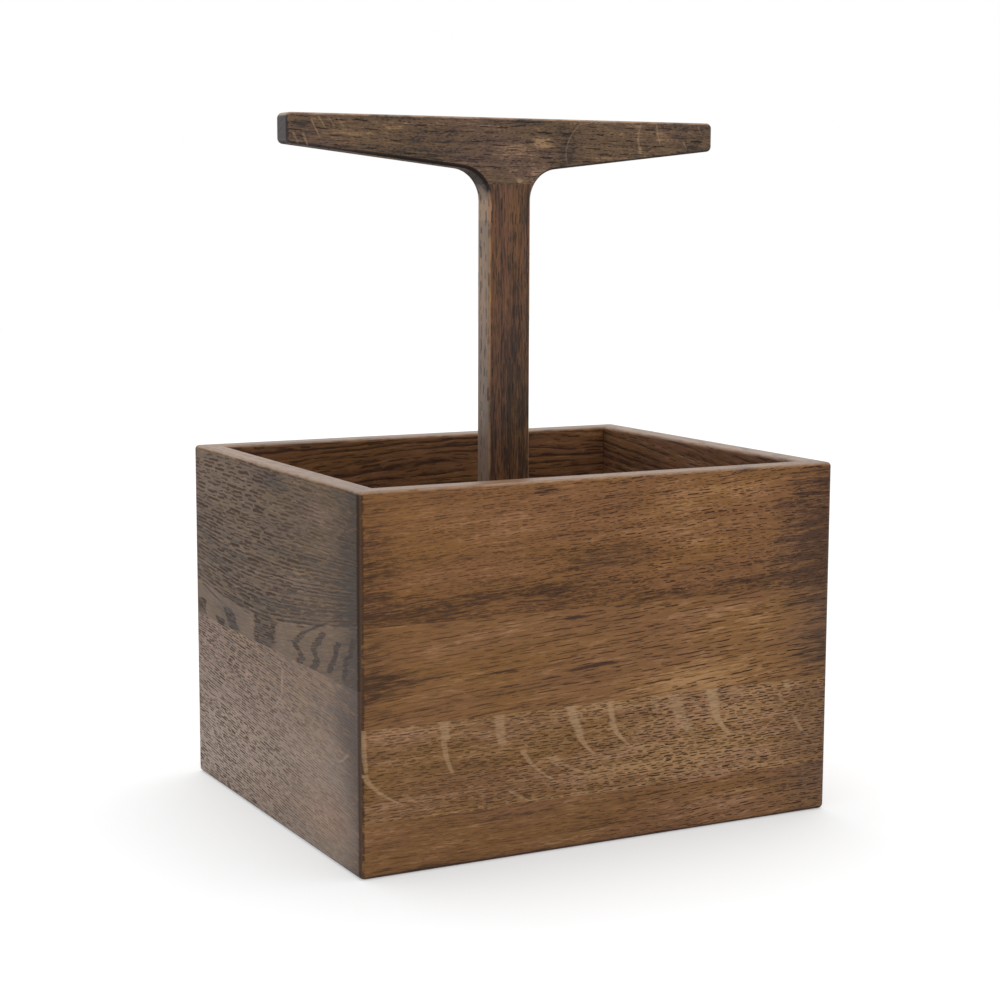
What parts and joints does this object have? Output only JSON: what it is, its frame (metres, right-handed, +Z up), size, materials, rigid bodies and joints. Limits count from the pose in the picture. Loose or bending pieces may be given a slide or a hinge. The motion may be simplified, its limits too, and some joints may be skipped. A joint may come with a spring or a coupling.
{
  "type": "open tote box with T handle",
  "caption": "Open rectangular tote box of dark smoked oak with mitred corners, a flat floor and a central T-shaped carrying handle.",
  "frame": {"origin": "centre of the base, on the surface that the box stands on", "axes": "+X along the box's long side and the crossbar, -Y towards the front wall, +Z up"},
  "size_m": [0.24, 0.2, 0.3227],
  "materials": {
    "wall_oak": "smoked oak, oiled, satin",
    "floor_oak": "smoked oak, oiled, matt",
    "handle_oak": "smoked oak, oiled, worn to a satin sheen",
    "spline_oak": "sawn oak, unfinished",
    "dowel_beech": "turned beech, unfinished",
    "screw_steel": "plain steel"
  },
  "bodies": {
    "root": {"front_base_board": "wall_oak", "front_ray_board": "wall_oak", "front_upper_board": "wall_oak", "front_rim_board": "wall_oak", "right_lower_board": "wall_oak", "right_rim_board": "wall_oak", "back_base_board": "wall_oak", "back_middle_board": "wall_oak", "back_rim_board": "wall_oak", "left_lower_board": "wall_oak", "left_rim_board": "wall_oak", "front_left_spline": "spline_oak", "front_right_spline": "spline_oak", "back_right_spline": "spline_oak", "back_left_spline": "spline_oak", "floor_front_board": "floor_oak", "floor_middle_board": "floor_oak", "floor_back_board": "floor_oak", "handle_crossbar": "handle_oak", "handle_post": "handle_oak", "handle_dowels": "dowel_beech", "handle_screws": "screw_steel"}
  },
  "joints": []
}
